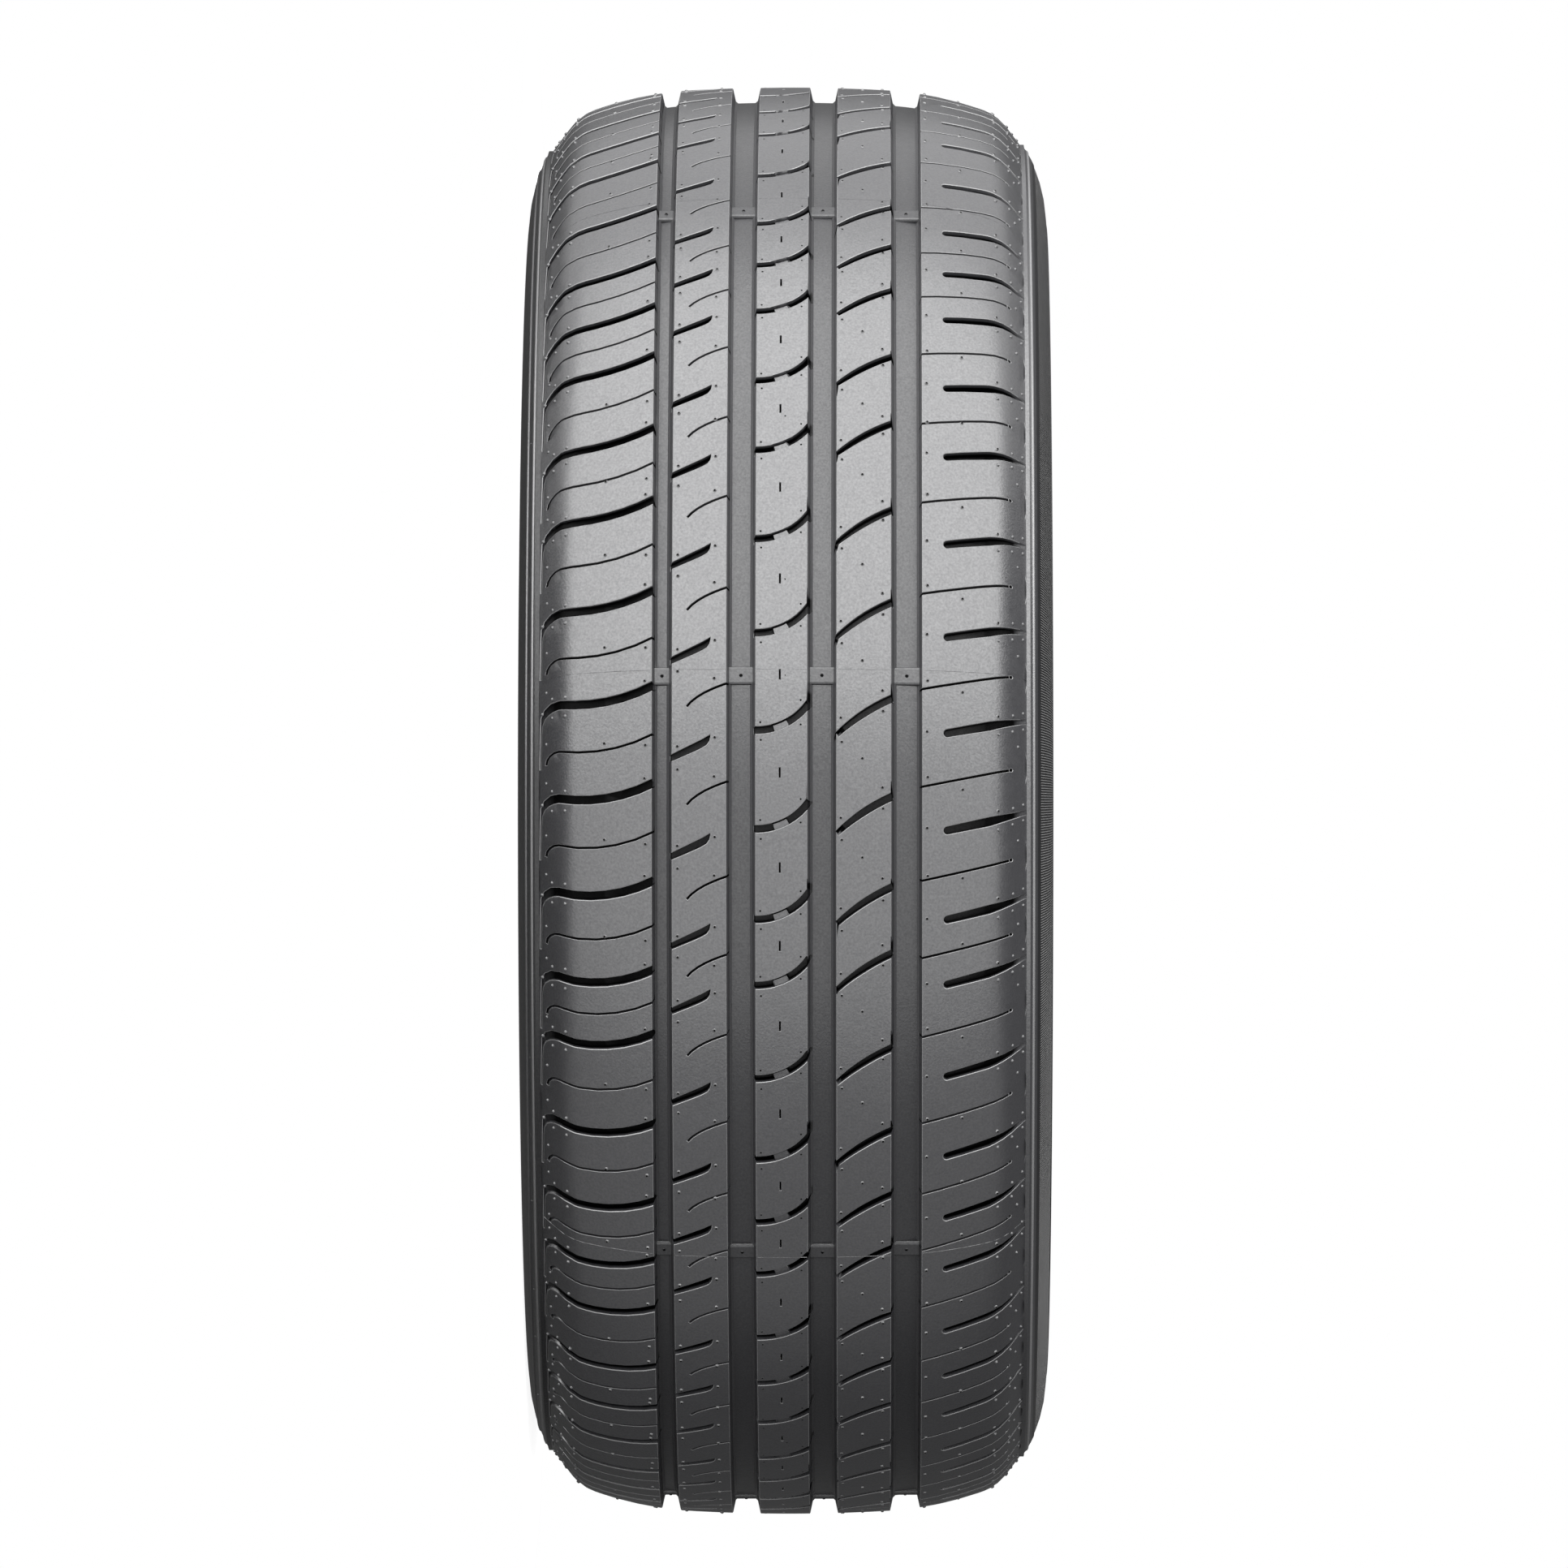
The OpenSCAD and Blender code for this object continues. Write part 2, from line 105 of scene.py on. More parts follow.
# Pitches: the pattern repeats in five lengths, in a mixed order that comes twice round the tyre
PITCH_ORDER = (4, 3, 0, 0, 3, 2, 4, 4, 4, 4, 3, 0, 4, 3, 1, 0, 3, 1, 1, 2, 0, 1, 0, 2, 3, 4, 2, 1) * 2
CLASS_STEP = 0.6
FIRST_PITCH_AT = 209.1
short_pitch = (360 - CLASS_STEP * sum(PITCH_ORDER)) / len(PITCH_ORDER)
pitches = []
angle = FIRST_PITCH_AT
for size_class in PITCH_ORDER:
    length = short_pitch + CLASS_STEP * size_class
    pitches.append((angle, length))
    angle += length

# A cut in a rib is an outline with open edges where it runs out, the depth of its floor at places across the
# tread, a bevel at its edge and the width over which its walls come down. Widths here include the bevels,
# and a bevel under the least one gets no ring of points of its own.
CROSS_DEPTH = 5.4
SIPE_DEPTH = 4.5
SIPE_W = 1.5
GROOVE_EDGE = {"bevel": 0.28, "wall": 0.65}
SIPE_EDGE = {"bevel": 0.15, "wall": 0.42}
LEAST_BEVEL = 0.11


def strip(line, widths):
    left, right = [], []
    for i, p in enumerate(line):
        a, b = line[max(i - 1, 0)], line[min(i + 1, len(line) - 1)]
        dx, dy = b[0] - a[0], b[1] - a[1]
        n = math.hypot(dx, dy)
        off = (-dy / n * widths[i] / 2, dx / n * widths[i] / 2)
        left.append((p[0] + off[0], p[1] + off[1]))
        right.append((p[0] - off[0], p[1] - off[1]))
    return left + right[::-1]


def inset(outline, open_edges, amount):
    n = len(outline)
    area = sum(a[0] * b[1] - b[0] * a[1] for a, b in zip(outline, outline[1:] + outline[:1]))
    side = 1 if area > 0 else -1
    lines = []
    for i in range(n):
        a, b = Vector(outline[i]), Vector(outline[(i + 1) % n])
        d = (b - a).normalized()
        shift = Vector((-d.y, d.x)) * side * (0 if i in open_edges else amount)
        lines.append((a + shift, b + shift, d))
    points = []
    for i in range(n):
        a0, b0, d0 = lines[i - 1]
        a1, b1, d1 = lines[i]
        turn = d0.x * d1.y - d0.y * d1.x
        if abs(turn) < 0.02:
            points.append(tuple((b0 + a1) / 2))
        else:
            t = ((a1.x - a0.x) * d1.y - (a1.y - a0.y) * d1.x) / turn
            points.append(tuple(a0 + d0 * t))
    return points


def cut(outline, floor, at, open_edges, bevel, wall):
    outline = [(float(z), float(s * TOP_R / tread_r(z))) for z, s in outline]
    rings = [outline, inset(outline, open_edges, wall)]
    if bevel > LEAST_BEVEL:
        rings.append(inset(outline, open_edges, bevel))
    return {"rings": rings, "open": open_edges, "floor": floor, "bevel": bevel, "wall": wall, "at": at}


def cut_depth(c, z, s):
    points = np.stack([z, s], axis=1)
    near = np.full(len(points), 1e9)
    inside = np.zeros(len(points), dtype=bool)
    outline = c["rings"][0]
    for i in range(len(outline)):
        a, b = np.array(outline[i]), np.array(outline[(i + 1) % len(outline)])
        if a[1] != b[1]:
            span = (a[1] > points[:, 1]) != (b[1] > points[:, 1])
            cross_z = a[0] + (points[:, 1] - a[1]) * (b[0] - a[0]) / (b[1] - a[1])
            inside ^= span & (points[:, 0] < cross_z)
        if i in c["open"]:
            continue
        d = b - a
        t = np.clip(((points - a) @ d) / (d @ d), 0, 1)
        near = np.minimum(near, np.linalg.norm(points - a - t[:, None] * d, axis=1))
    floor = np.interp(z, *zip(*c["floor"]))
    edge = np.minimum(floor, c["bevel"])
    slope = edge + (floor - edge) * np.clip((near - c["bevel"]) / (c["wall"] - c["bevel"]), 0, 1)
    depth = np.where(near < c["bevel"], np.minimum(near, floor), slope)
    return np.where(inside & (near > 0.01), depth, 0.0)


# First rib, inboard: wide grooves sweep out from the first round groove, hook over the shoulder and end in a
# thin tail along the ridge. A sipe follows half a pitch behind each.
SWEEP_R = 77.0
SWEEP_Z = -100
SWEEP_START_Z = -64.4
HOOK_Z = -111.5


def sweep_line(r_hook, steps):
    def sweep_s(z):
        return math.sqrt(SWEEP_R**2 - (z - SWEEP_Z) ** 2) - SWEEP_R

    line = [(z, sweep_s(z)) for z in np.linspace(SWEEP_START_Z, HOOK_Z, steps)]
    base = sweep_s(HOOK_Z) + r_hook
    turns = np.linspace(0, math.pi / 2, 5)[1:]
    line += [(HOOK_Z - r_hook * math.sin(a), base - r_hook * math.cos(a)) for a in turns]
    return [(float(z), float(s)) for z, s in line]


inboard_line = sweep_line(8.8, 7) + [(-120.6, 13.0), (-120.9, 29.7)]
inboard_plan = strip(inboard_line, [5.0] * 8 + [4.2, 2.7, 1.4, 1.1, 1.1])
inboard_floor = ((-122, 1.1), (-118, 2.2), (-84, CROSS_DEPTH), (SWEEP_START_Z, 3.0))
inboard_sipe_line = sweep_line(6.4, 6)
inboard_sipe = strip(inboard_sipe_line, [SIPE_W] * len(inboard_sipe_line))
inboard_sipe_floor = ((-119, 2.0), (-103, 3.5), (-57, SIPE_DEPTH))
cuts = {rib: [] for rib in range(5)}
for at, length in pitches:
    cuts[0].append(cut(inboard_plan, inboard_floor, at, (len(inboard_plan) - 1,), 0.35, 0.5))
    at += length / 2
    cuts[0].append(cut(inboard_sipe, inboard_sipe_floor, at, (len(inboard_sipe) - 1,), **SIPE_EDGE))

# Second rib: slanting notches end in a claw, and a curved sipe comes from the other side
RIB2_LEAD = 4.24
CLAW = [(-56.7, 8.7), (-44, 3.2), (-40.7, 1.6), (-38.3, 0.1), (-36.9, -2.0), (-36.4, -4.3), (-36.5, -5.6),
        (-41, -3.0), (-56.7, 4.7)]
RIB2_SIPE = [(-27.6, -6.55), (-31.5, -5.2), (-35.5, -3.6), (-39.5, -1.7), (-43, 0.4), (-46, 2.7),
             (-48.4, 5.3)]
rib2_sipe = strip(RIB2_SIPE, [SIPE_W] * len(RIB2_SIPE))
for at, length in pitches:
    at -= RIB2_LEAD
    cuts[1].append(cut(CLAW, ((0, CROSS_DEPTH),), at, (len(CLAW) - 1,), 0.25, 0.5))
    cuts[1].append(cut(rib2_sipe, ((0, SIPE_DEPTH),), at + length / 2, (len(rib2_sipe) - 1,), **SIPE_EDGE))

# Middle rib: each groove is a round arc, all but closed by a sunken tie bar that a thin cut splits. A short
# slit lies between two of them.
RIB3_LEAD = 5.9
ARC_C = (-14.0, -28.1)
ARC_R = 31.5
SLIT = [(-1.9, -2.7), (-3.1, -2.7), (-3.1, 2.7), (-1.9, 2.7)]


def arc_strip(r, z0, z1, steps, width):
    a0, a1 = (math.degrees(math.asin((z - ARC_C[0]) / ARC_R)) for z in (z0, z1))
    angles = [math.radians(a0 + (a1 - a0) * i / steps) for i in range(steps + 1)]
    line = [(ARC_C[0] + r * math.sin(a), ARC_C[1] + r * math.cos(a)) for a in angles]
    return strip(line, [width] * len(line))


for at, length in pitches:
    at -= RIB3_LEAD
    level = ((0, CROSS_DEPTH),)
    cuts[2].append(cut(arc_strip(ARC_R, -15.6, -5.2, 4, 4.3), level, at, (9,), **GROOVE_EDGE))
    cuts[2].append(cut(arc_strip(ARC_R, 1.0, 12.1, 4, 4.3), level, at, (4,), **GROOVE_EDGE))
    cuts[2].append(cut(arc_strip(ARC_R, -5.5, 1.3, 3, 4.1), ((0, 1.4),), at, (3, 7), 0.2, 0.3))
    cuts[2].append(cut(arc_strip(ARC_R - 1.6, -5.9, 1.9, 3, 0.9), level, at, (3, 7), 0.1, 0.25))
    cuts[2].append(cut(SLIT, ((0, 3.5),), at + length / 2, (), 0.12, 0.3))

# Fourth rib: grooves on a flat arc run right across, wider towards the shoulder
RIB4_LEAD = 6.63
RIB4_R = 97
RIB4_SLANT = math.radians(33.5)
rib4_c = (38.5 + RIB4_R * math.sin(RIB4_SLANT), RIB4_R * math.cos(RIB4_SLANT))
rib4_angles = [RIB4_SLANT - math.radians(a) for a in np.linspace(-9.7, 9.7, 8)]
rib4_line = [(rib4_c[0] - RIB4_R * math.sin(a), rib4_c[1] - RIB4_R * math.cos(a)) for a in rib4_angles]
rib4_plan = strip(rib4_line, np.interp(np.linspace(0, 1, 8), [0, 0.5, 1], [3.2, 4.3, 4.5]).tolist())
for at, length in pitches:
    cuts[3].append(cut(rib4_plan, ((0, CROSS_DEPTH),), at - RIB4_LEAD, (7, 15), **GROOVE_EDGE))

# Fifth rib, outboard: grooves with a round inner end run out over the shoulder. A sipe from the last round
# groove ends in a small hole, and a shallow lens lies beyond it near the ridge.
RIB5_LEAD = 5.84
RIB5_SLOPE = -math.tan(math.radians(11.3))
END_C = (80.1, RIB5_SLOPE * -19.9)
END_R = 2.3
OUT = (119.2, RIB5_SLOPE * 19.2)
end_turns = np.linspace(-1.45, 1.45, 9)
blind_plan = [(END_C[0] - END_R * math.cos(a), END_C[1] - END_R * math.sin(a)) for a in end_turns]
blind_plan += [(101, RIB5_SLOPE - 2.6), (OUT[0], OUT[1] - 1.6), (OUT[0], OUT[1] + 0.9),
               (101, RIB5_SLOPE + 2.5)]
blind_floor = ((75, CROSS_DEPTH), (96, 5.2), (104, 4.4), (113, 2.6), (117, 1.2), (119.2, 0.3))
rib5_sipe_line = [(66.4, RIB5_SLOPE * -33.6), (90, RIB5_SLOPE * -10), (110.6, RIB5_SLOPE * 10.6)]
rib5_sipe = strip(rib5_sipe_line, [SIPE_W] * 3)
rib5_sipe_floor = ((60, SIPE_DEPTH), (103, 4.0), (112, 2.5))
hole_turns = np.linspace(0, 2 * math.pi, 9)[:-1]
hole = [(111.4 + 1.1 * math.cos(a), RIB5_SLOPE * 11.4 + 1.1 * math.sin(a)) for a in hole_turns]
lens = [(118.7 + math.cos(t * math.pi / 8), RIB5_SLOPE * 18.7 + t * 2) for t in range(-4, 5)]
lens += [(118.7 - math.cos(t * math.pi / 8), RIB5_SLOPE * 18.7 + t * 2) for t in range(3, -4, -1)]
for at, length in pitches:
    at -= RIB5_LEAD
    cuts[4].append(cut(blind_plan, blind_floor, at, (10,), **GROOVE_EDGE))
    cuts[4].append(cut(rib5_sipe, rib5_sipe_floor, at + length / 2, (5,), **SIPE_EDGE))
    cuts[4].append(cut(hole, ((0, 3.0),), at + length / 2, (), 0.25, 0.5))
    cuts[4].append(cut(lens, ((0, 0.7),), at + length / 2, (), 0.3, 0.5))

# The plan of each rib is cut into triangles along the outlines in eight sectors, lifted on to the round
# tread and sunk by the depth of what lies there. Its points keep the whole depth and the depth of the rib's
# cuts alone, for the material's painted shade, and its faces a painted highlight on bevels and groove
# corners.
ZONES = (-121.9, -60.6, -21.7, 18.2, 60.0, 120.0)
CROSS_LINES = (-118, -114, -110, -105, -100, -90, -78, -48, -33, -8, 4, 34, 43, 76, 88, 98, 104, 108, 112,
               116)
STEPS = 240
SECTORS = 8
SECTOR_MARGIN = 60
HIGHLIGHT_END_Z = 116
tyre_mesh = bmesh.new()
depth_layer = tyre_mesh.verts.layers.float.new("depth")
narrow_layer = tyre_mesh.verts.layers.float.new("narrow")
highlight_layer = tyre_mesh.faces.layers.float.new("edge")


def rib_lines(rib):
    low, high = ZONES[rib], ZONES[rib + 1]
    lines = {low, high}
    for middle, width in zip(ROUND_Z, ROUND_W):
        for inward, _ in ROUND_KNOTS:
            for z in (middle - width / 2 + inward, middle + width / 2 - inward):
                if low < z < high:
                    lines.add(z)
    lines.update(z for z in CROSS_LINES if low < z < high)
    return sorted(lines)


for rib in range(5):
    z_lines = rib_lines(rib)
    for sector in range(SECTORS):
        angle0 = 360 / SECTORS * sector
        u0, u1 = math.radians(angle0) * TOP_R, math.radians(angle0 + 360 / SECTORS) * TOP_R
        span = STEPS // SECTORS
        verts, edges, shown = [], [], []
        for z in z_lines:
            first = len(verts)
            verts += [(z, (u1 - u0) * i / span) for i in range(span + 1)]
            edges += [(first + i, first + i + 1) for i in range(span)]
        for row in range(len(z_lines) - 1):
            edges.append((row * (span + 1), (row + 1) * (span + 1)))
            edges.append((row * (span + 1) + span, (row + 1) * (span + 1) + span))
        for c in cuts[rib]:
            at = (c["at"] - angle0 + 180) % 360 - 180 + angle0
            centre = math.radians(at) * TOP_R
            if centre < u0 - SECTOR_MARGIN or centre > u1 + SECTOR_MARGIN:
                continue
            shown.append((c, at))
            for ring in c["rings"]:
                first = len(verts)
                verts += [(z, centre + s - u0) for z, s in ring]
                edges += [(first + i, first + (i + 1) % len(ring)) for i in range(len(ring))]
        out, _, faces, _, _, _ = geometry.delaunay_2d_cdt([Vector(v) for v in verts], edges, [], 0, 1e-4)
        plan = np.array([tuple(v) for v in out])
        z, u = plan[:, 0], plan[:, 1] + u0
        narrow = np.zeros_like(z)
        for c, at in shown:
            s = u - math.radians(at) * TOP_R
            outline = np.array(c["rings"][0])
            low, high = outline.min(axis=0) - 1, outline.max(axis=0) + 1
            near = (z > low[0]) & (z < high[0]) & (s > low[1]) & (s < high[1])
            if near.any():
                narrow[near] = np.maximum(narrow[near], cut_depth(c, z[near], s[near]))
        sunk = np.maximum(round_depth(z), narrow)
        r = tread_r(z) - sunk
        turned = u / TOP_R
        points = np.stack([r * np.cos(turned), r * np.sin(turned), z], axis=1) / 1000
        made = {}
        for face in faces:
            middle = plan[list(face)].mean(axis=0)
            if not (0 < middle[1] < u1 - u0 and ZONES[rib] < middle[0] < ZONES[rib + 1]):
                continue
            for i in face:
                if i not in made:
                    made[i] = tyre_mesh.verts.new(points[i])
                    made[i][depth_layer] = sunk[i]
                    made[i][narrow_layer] = narrow[i]
            new_face = tyre_mesh.faces.new([made[i] for i in face])
            # Painted highlight: bevel faces get a light grey line, and the round grooves' corner facets a
            # faint one
            deepest, highest = max(sunk[i] for i in face), min(sunk[i] for i in face)
            on_bevel = 0.05 < deepest < 0.45 and middle[0] < HIGHLIGHT_END_Z
            on_corner = 6.5 < highest < 7.7
            new_face[highlight_layer] = 0.5 if on_bevel else 0.1 if on_corner else 0.0

# Sidewalls, beads and liner are one section spun round the axle. Each bead is a firm toe and heel that sit
# on the rim. The outboard shoulder has a slight ridge and a thin line, the inboard one a broad ridge and two
# fine rings; the line and the rings have painted highlights. The outboard wall and the inboard ridge's face
# have painted shade as dark as a shallow cut.
HALF_WIDTH = 133
WIDEST_R = 300
FLANGE_R = 240
FLANGE_Z = 101.6
FLANGE_ROUND = 12
WALL_RISE = 31.4
HEEL_C = (237.5, 95.1)
HEEL_R = 6.5
TOE = [(231, 83.6), (231.4, 82.4), (233, 81.6)]
BEAD_IN = (243, 83.6)
LINER_Z = 126
TREAD_THICKNESS = 16
PAINTED_WALL_SHADE = 2.2


def arc_points(c, r, a0, a1, n):
    angles = [math.radians(a0 + (a1 - a0) * i / n) for i in range(n + 1)]
    return [(c[0] + r * math.cos(a), c[1] + r * math.sin(a)) for a in angles]


def bow_points(r, z, turns):
    return [(WIDEST_R - r * math.sin(a), z - r * (1 - math.cos(a))) for a in turns]


def bead_side():
    low_r = (WIDEST_R - FLANGE_R) ** 2 + (WALL_RISE - FLANGE_ROUND) ** 2 - FLANGE_ROUND**2
    low_r /= 2 * WALL_RISE
    low_end = math.asin((WIDEST_R - FLANGE_R) / (low_r + FLANGE_ROUND))
    points = bow_points(low_r, HALF_WIDTH, [low_end * i / 12 for i in range(1, 13)])
    for i in (4, 3, 2, 1, 0):
        a = low_end * i / 5
        points.append((FLANGE_R + FLANGE_ROUND * math.sin(a), FLANGE_Z + FLANGE_ROUND * (1 - math.cos(a))))
    points += arc_points(HEEL_C, HEEL_R, 90, 180, 6) + TOE
    rise, fall = WIDEST_R - BEAD_IN[0], LINER_Z - BEAD_IN[1]
    bow = (rise**2 + fall**2) / (2 * fall)
    end = math.asin(rise / bow)
    points += bow_points(bow, LINER_Z, [end * i / 10 for i in range(10, 0, -1)])
    liner_c = TOP_R - TREAD_THICKNESS - CROWN_R
    h = WIDEST_R - liner_c
    shoulder = (CROWN_R**2 - h**2 - LINER_Z**2) / (2 * (CROWN_R - LINER_Z))
    meet = math.degrees(math.atan((LINER_Z - shoulder) / h))
    points += arc_points((WIDEST_R, LINER_Z - shoulder), shoulder, 90, meet, 10)
    points += arc_points((liner_c, 0), CROWN_R, meet * 0.75, meet * 0.15, 4)
    return points


def outer_side(edge_z, ridge_r, rings):
    ridge = (ridge_r, buttress_z + (buttress_r - ridge_r) * BUTTRESS_SLANT)
    foot = (ridge[0] - 1.6, ridge[1] + 2.4)
    bow = ((foot[0] - WIDEST_R) ** 2 + (HALF_WIDTH - foot[1]) ** 2) / (2 * (HALF_WIDTH - foot[1]))
    points = [(float(tread_r(edge_z)), edge_z), ridge, (ridge[0], ridge[1] + 2.0), (foot[0], foot[1] - 0.3)]
    for r, lift in rings:
        if r > WIDEST_R:
            wall = HALF_WIDTH - bow + math.sqrt(bow**2 - (r - WIDEST_R) ** 2)
            points.append((r, min(wall, HALF_WIDTH) + lift))
        else:
            points.append((r, HALF_WIDTH + min(lift, 0)))
    return points


outboard = outer_side(ZONES[5], 339.5, (
    (336.6, 0), (336.3, 0.5), (335.6, 0.5), (335.2, 0), (332, 0), (329.3, 0), (329.0, -0.5), (326, -0.5),
    (320, -0.5), (312, -0.5), (304, -0.5), (298.6, -0.5), (298.2, 0)))
inboard = outer_side(-ZONES[0], 336.2, (
    (334.2, 0), (333.3, 0.0), (332.9, 0.55), (332.0, 0.55), (331.6, 0), (326.6, 0), (326.2, 0.55),
    (325.2, 0.55), (324.8, 0), (320, 0), (312, 0), (304, 0), (299, 0)))
bead = bead_side()
section = outboard + bead + [(TOP_R - TREAD_THICKNESS, 0.0)]
section += [(r, -z) for r, z in bead[::-1]] + [(r, -z) for r, z in inboard[::-1]]
ring = [tyre_mesh.verts.new((r / 1000, 0, z / 1000)) for r, z in section]
wire = [tyre_mesh.edges.new((a, b)) for a, b in zip(ring, ring[1:])]
bmesh.ops.spin(tyre_mesh, geom=ring + wire, cent=(0, 0, 0), axis=(0, 0, 1), angle=2 * math.pi, steps=STEPS,
               use_merge=True, use_duplicate=False)
bmesh.ops.remove_doubles(tyre_mesh, verts=tyre_mesh.verts, dist=6e-6)
bmesh.ops.dissolve_degenerate(tyre_mesh, edges=tyre_mesh.edges, dist=2e-6)
bmesh.ops.recalc_face_normals(tyre_mesh, faces=tyre_mesh.faces)
bmesh.ops.triangulate(tyre_mesh, faces=[f for f in tyre_mesh.faces if len(f.verts) > 4])
for edge in tyre_mesh.edges:
    edge.smooth = len(edge.link_faces) == 2 and edge.calc_face_angle(0) < math.radians(28)
# Painted shade on the outboard wall and the inboard ridge's face
for vert in tyre_mesh.verts:
    r = math.hypot(vert.co.x, vert.co.y)
    if (vert.co.z > 0.095 and r < 0.335) or (vert.co.z < -0.1217 and 0.3345 < r < 0.337):
        vert[narrow_layer] = PAINTED_WALL_SHADE
# Painted highlights on the outboard thin line and the inboard rings
for face in tyre_mesh.faces:
    face.smooth = True
    centre = face.calc_center_median()
    r = math.hypot(centre.x, centre.y) * 1000
    if centre.z > 0.122 and 335.6 < r < 336.5:
        face[highlight_layer] = 0.55
    if centre.z < -0.122 and 331.9 < r < 333.1:
        face[highlight_layer] = 0.5
    if centre.z < -0.122 and 325.1 < r < 326.3:
        face[highlight_layer] = 0.3
tyre_data = bpy.data.meshes.new("tyre_rubber")
tyre_mesh.to_mesh(tyre_data)
tyre = bpy.data.objects.new("tyre_rubber", tyre_data)
bpy.context.scene.collection.objects.link(tyre)
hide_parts("tyre")
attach(tyre, "root")


# Tread rubber, black with carbon, moulded and vulcanised: satin and almost black, with a broad soft sheen.
# Painted shade darkens its colour and gloss low in the grooves and to near black inside the cuts in the ribs,
# and painted highlights lighten its sharp edges grey. Clouds of 45 mm, patches of 4 mm and a grain of 1 mm
# vary it. The real grain is finer than that, and it is drawn coarser so that it shows.
def lin(hexa):
    parts = [int(hexa[i:i + 2], 16) / 255 for i in (1, 3, 5)]
    return [c / 12.92 if c <= 0.04045 else ((c + 0.055) / 1.055) ** 2.4 for c in parts] + [1]


def node(tree, kind, sockets=None, **settings):
    made = tree.nodes.new(kind)
    for name, value in settings.items():
        setattr(made, name, value)
    for name, value in (sockets or {}).items():
        if isinstance(value, bpy.types.NodeSocket):
            tree.links.new(value, made.inputs[name])
        else:
            made.inputs[name].default_value = value
    return made


rubber = bpy.data.materials.new("moulded_rubber")
rubber.use_nodes = True
tree = rubber.node_tree
coords = node(tree, "ShaderNodeTexCoord").outputs["Object"]
depth = node(tree, "ShaderNodeAttribute", attribute_name="depth").outputs["Fac"]
narrow_depth = node(tree, "ShaderNodeAttribute", attribute_name="narrow").outputs["Fac"]
painted_highlight = node(tree, "ShaderNodeAttribute", attribute_name="edge").outputs["Fac"]
sunk_share = node(tree, "ShaderNodeMapRange", {"Value": depth, "From Min": 0.5, "From Max": 6.0})
# Painted shade: colour and gloss go near black inside cuts deeper than 2.6 mm, with a little painted light
# back on the floors of the deepest cuts
open_share = node(tree, "ShaderNodeMapRange",
                  {"Value": narrow_depth, "From Min": 1.5, "From Max": 2.6, "To Min": 1.0, "To Max": 0.04})
floor_share = node(tree, "ShaderNodeMapRange",
                   {"Value": narrow_depth, "From Min": 4.9, "From Max": 5.4, "To Max": 0.16})
lit_cut = node(tree, "ShaderNodeMath", {0: open_share.outputs["Result"], 1: floor_share.outputs["Result"]},
               operation="ADD")
cloud = node(tree, "ShaderNodeTexNoise", {"Vector": coords, "Scale": 22, "Detail": 3})
mottle = node(tree, "ShaderNodeTexNoise", {"Vector": coords, "Scale": 260, "Detail": 5})
fine = node(tree, "ShaderNodeTexNoise", {"Vector": coords, "Scale": 900, "Detail": 4})

# Radial serrations of the outboard sidewall, 1600 round it and so 1.3 mm apart, as crests with painted
# highlights and as bump in the band between two of its rings
split = node(tree, "ShaderNodeSeparateXYZ", {"Vector": coords})
around = node(tree, "ShaderNodeMath", {0: split.outputs["Y"], 1: split.outputs["X"]}, operation="ARCTAN2")
turns = node(tree, "ShaderNodeMath", {0: around.outputs["Value"], 1: 1600}, operation="MULTIPLY")
wave = node(tree, "ShaderNodeMath", {0: turns.outputs["Value"]}, operation="SINE")
flat = node(tree, "ShaderNodeVectorMath", {0: coords, 1: (1, 1, 0)}, operation="MULTIPLY")
radius = node(tree, "ShaderNodeVectorMath", {0: flat.outputs["Vector"]}, operation="LENGTH")
outer = node(tree, "ShaderNodeMath", {0: radius.outputs["Value"], 1: 0.3288}, operation="LESS_THAN")
inner = node(tree, "ShaderNodeMath", {0: radius.outputs["Value"], 1: 0.2988}, operation="GREATER_THAN")
upper = node(tree, "ShaderNodeMath", {0: split.outputs["Z"], 1: 0.12}, operation="GREATER_THAN")
band = node(tree, "ShaderNodeMath", {0: outer.outputs["Value"], 1: inner.outputs["Value"]},
            operation="MULTIPLY")
band_up = node(tree, "ShaderNodeMath", {0: band.outputs["Value"], 1: upper.outputs["Value"]},
               operation="MULTIPLY")
serration = node(tree, "ShaderNodeMath", {0: band_up.outputs["Value"], 1: wave.outputs["Value"]},
                 operation="MULTIPLY")
crests = node(tree, "ShaderNodeMath", {0: serration.outputs["Value"], 1: 0.3}, operation="MULTIPLY")

# Colour
# Painted shade: the tone darkens with depth down the grooves
tone = node(tree, "ShaderNodeMix",
            {"Factor": sunk_share.outputs["Result"], "A": lin("#29292b"), "B": lin("#222224")},
            data_type="RGBA")
cloud_range = node(tree, "ShaderNodeMapRange", {"Value": cloud.outputs["Fac"], "To Min": 0.9, "To Max": 1.1})
lit_share = node(tree, "ShaderNodeMath", {0: cloud_range.outputs["Result"], 1: lit_cut.outputs["Value"]},
                 operation="MULTIPLY")
shade = node(tree, "ShaderNodeVectorMath",
             {"Vector": tone.outputs["Result"], "Scale": lit_share.outputs["Value"]}, operation="SCALE")
# Painted highlight: a light grey mixed in on bevels, groove corners, sidewall rings, pip sides and serration
# crests
highlight_share = node(tree, "ShaderNodeMath", {0: painted_highlight, 1: 0.3, 2: crests.outputs["Value"]},
                  operation="MULTIPLY_ADD")
highlighted = node(tree, "ShaderNodeMix",
            {"Factor": highlight_share.outputs["Value"], "A": shade.outputs["Vector"], "B": lin("#c8c8c8")},
            data_type="RGBA")

# Gloss and bump
rough = node(tree, "ShaderNodeMapRange", {"Value": mottle.outputs["Fac"], "To Min": 0.28, "To Max": 0.42})
